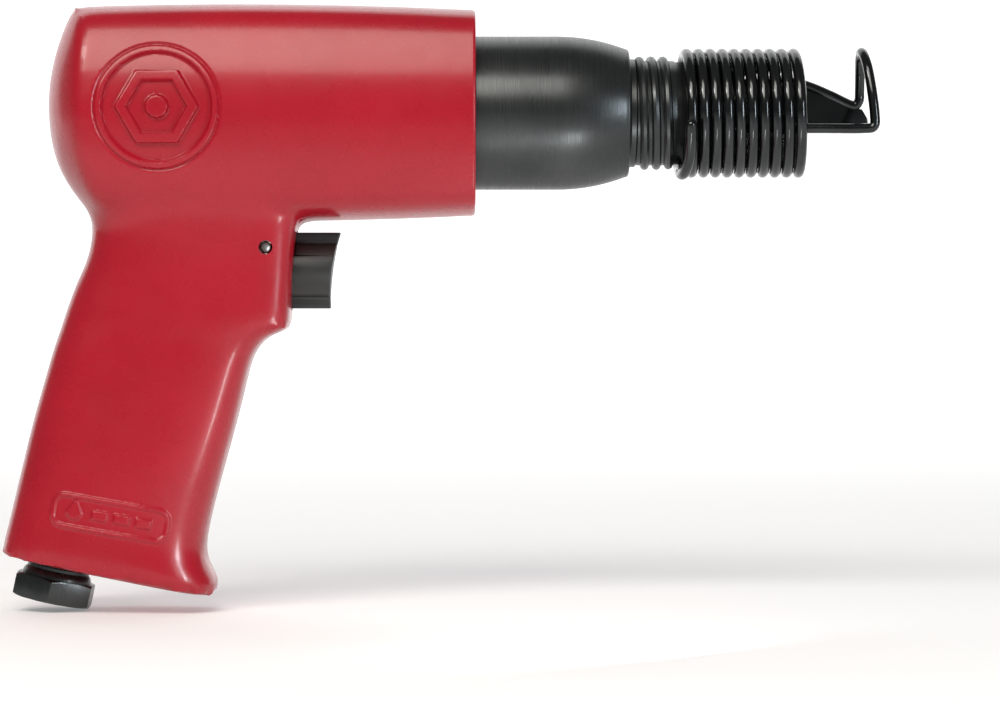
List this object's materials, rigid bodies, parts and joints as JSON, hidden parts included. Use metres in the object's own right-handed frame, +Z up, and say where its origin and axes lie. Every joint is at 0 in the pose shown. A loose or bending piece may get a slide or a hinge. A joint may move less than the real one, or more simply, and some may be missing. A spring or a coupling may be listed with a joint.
{
  "type": "pneumatic air hammer",
  "caption": "Pistol-grip pneumatic air hammer with a cast housing, a black barrel with a sliding piston inside, a finger trigger, a threaded air inlet and a coiled spring chisel retainer.",
  "frame": {"origin": "the middle of the whole tool's box", "axes": "+X along the barrel towards the chisel, +Z up, +Y to the left of a user who holds it, +X forwards"},
  "size_m": [0.2171, 0.047, 0.1501],
  "materials": {
    "red_paint": "semi-gloss enamel on a die casting",
    "black_steel": "black oxide over fine turning marks",
    "spring_steel": "glossy black oiled spring wire",
    "ground_steel": "ground and hardened",
    "pin_steel": "rolled spring steel",
    "bright_spring": "bright drawn wire",
    "black_plastic": "moulded, satin",
    "brass": "turned",
    "rubber": "moulded nitrile"
  },
  "bodies": {
    "housing": {"handle_housing": "red_paint", "barrel": "black_steel", "valve_case": "ground_steel", "valve_block": "ground_steel", "valve_dowel_near": "ground_steel", "valve_dowel_far": "ground_steel", "valve_spring_washer": "spring_steel", "throttle_bushing": "brass", "bushing_o_ring_front": "rubber", "bushing_o_ring_rear": "rubber", "stem_o_ring": "rubber", "throttle_spring": "bright_spring", "trigger_pin": "pin_steel", "inlet_bushing": "black_steel", "inlet_seal": "rubber", "inlet_screen": "brass"},
    "trigger": {"trigger": "black_plastic"},
    "throttle_valve": {"throttle_valve": "ground_steel", "throttle_seal": "rubber"},
    "piston": {"piston": "ground_steel"},
    "distributing_valve": {"distributing_valve": "ground_steel"},
    "retainer": {"retainer_spring": "spring_steel"},
    "clip": {"retainer_clip": "spring_steel", "clip_web": "spring_steel"}
  },
  "joints": [
    {"name": "trigger_slide", "type": "slide", "parent": "housing", "child": "trigger", "axis": [-1, 0, 0], "range_m": [0, 0.005], "stiffness_N_per_m": 800, "springref_m": -0.004},
    {"name": "throttle_valve_slide", "type": "slide", "parent": "housing", "child": "throttle_valve", "axis": [-1, 0, 0], "range_m": [0, 0.005], "deforming": ["throttle_spring"]},
    {"name": "piston_slide", "type": "slide", "parent": "housing", "child": "piston", "axis": [1, 0, 0], "range_m": [0, 0.067]},
    {"name": "distributing_valve_slide", "type": "slide", "parent": "housing", "child": "distributing_valve", "axis": [1, 0, 0], "range_m": [0, 0.002]},
    {"name": "retainer_turn", "type": "hinge", "parent": "housing", "child": "retainer", "pos_m": [0.0585, 0, 0.048], "axis": [1, 0, 0], "continuous": true},
    {"name": "clip_flex", "type": "hinge", "parent": "retainer", "child": "clip", "pos_m": [0.0725, 0, 0.048], "axis": [0, -1, 0], "range_deg": [0, 3], "stiffness_Nm_per_rad": 8}
  ],
  "couplings": [
    {"joint": "throttle_valve_slide", "follows": "trigger_slide", "ratio": 1}
  ]
}
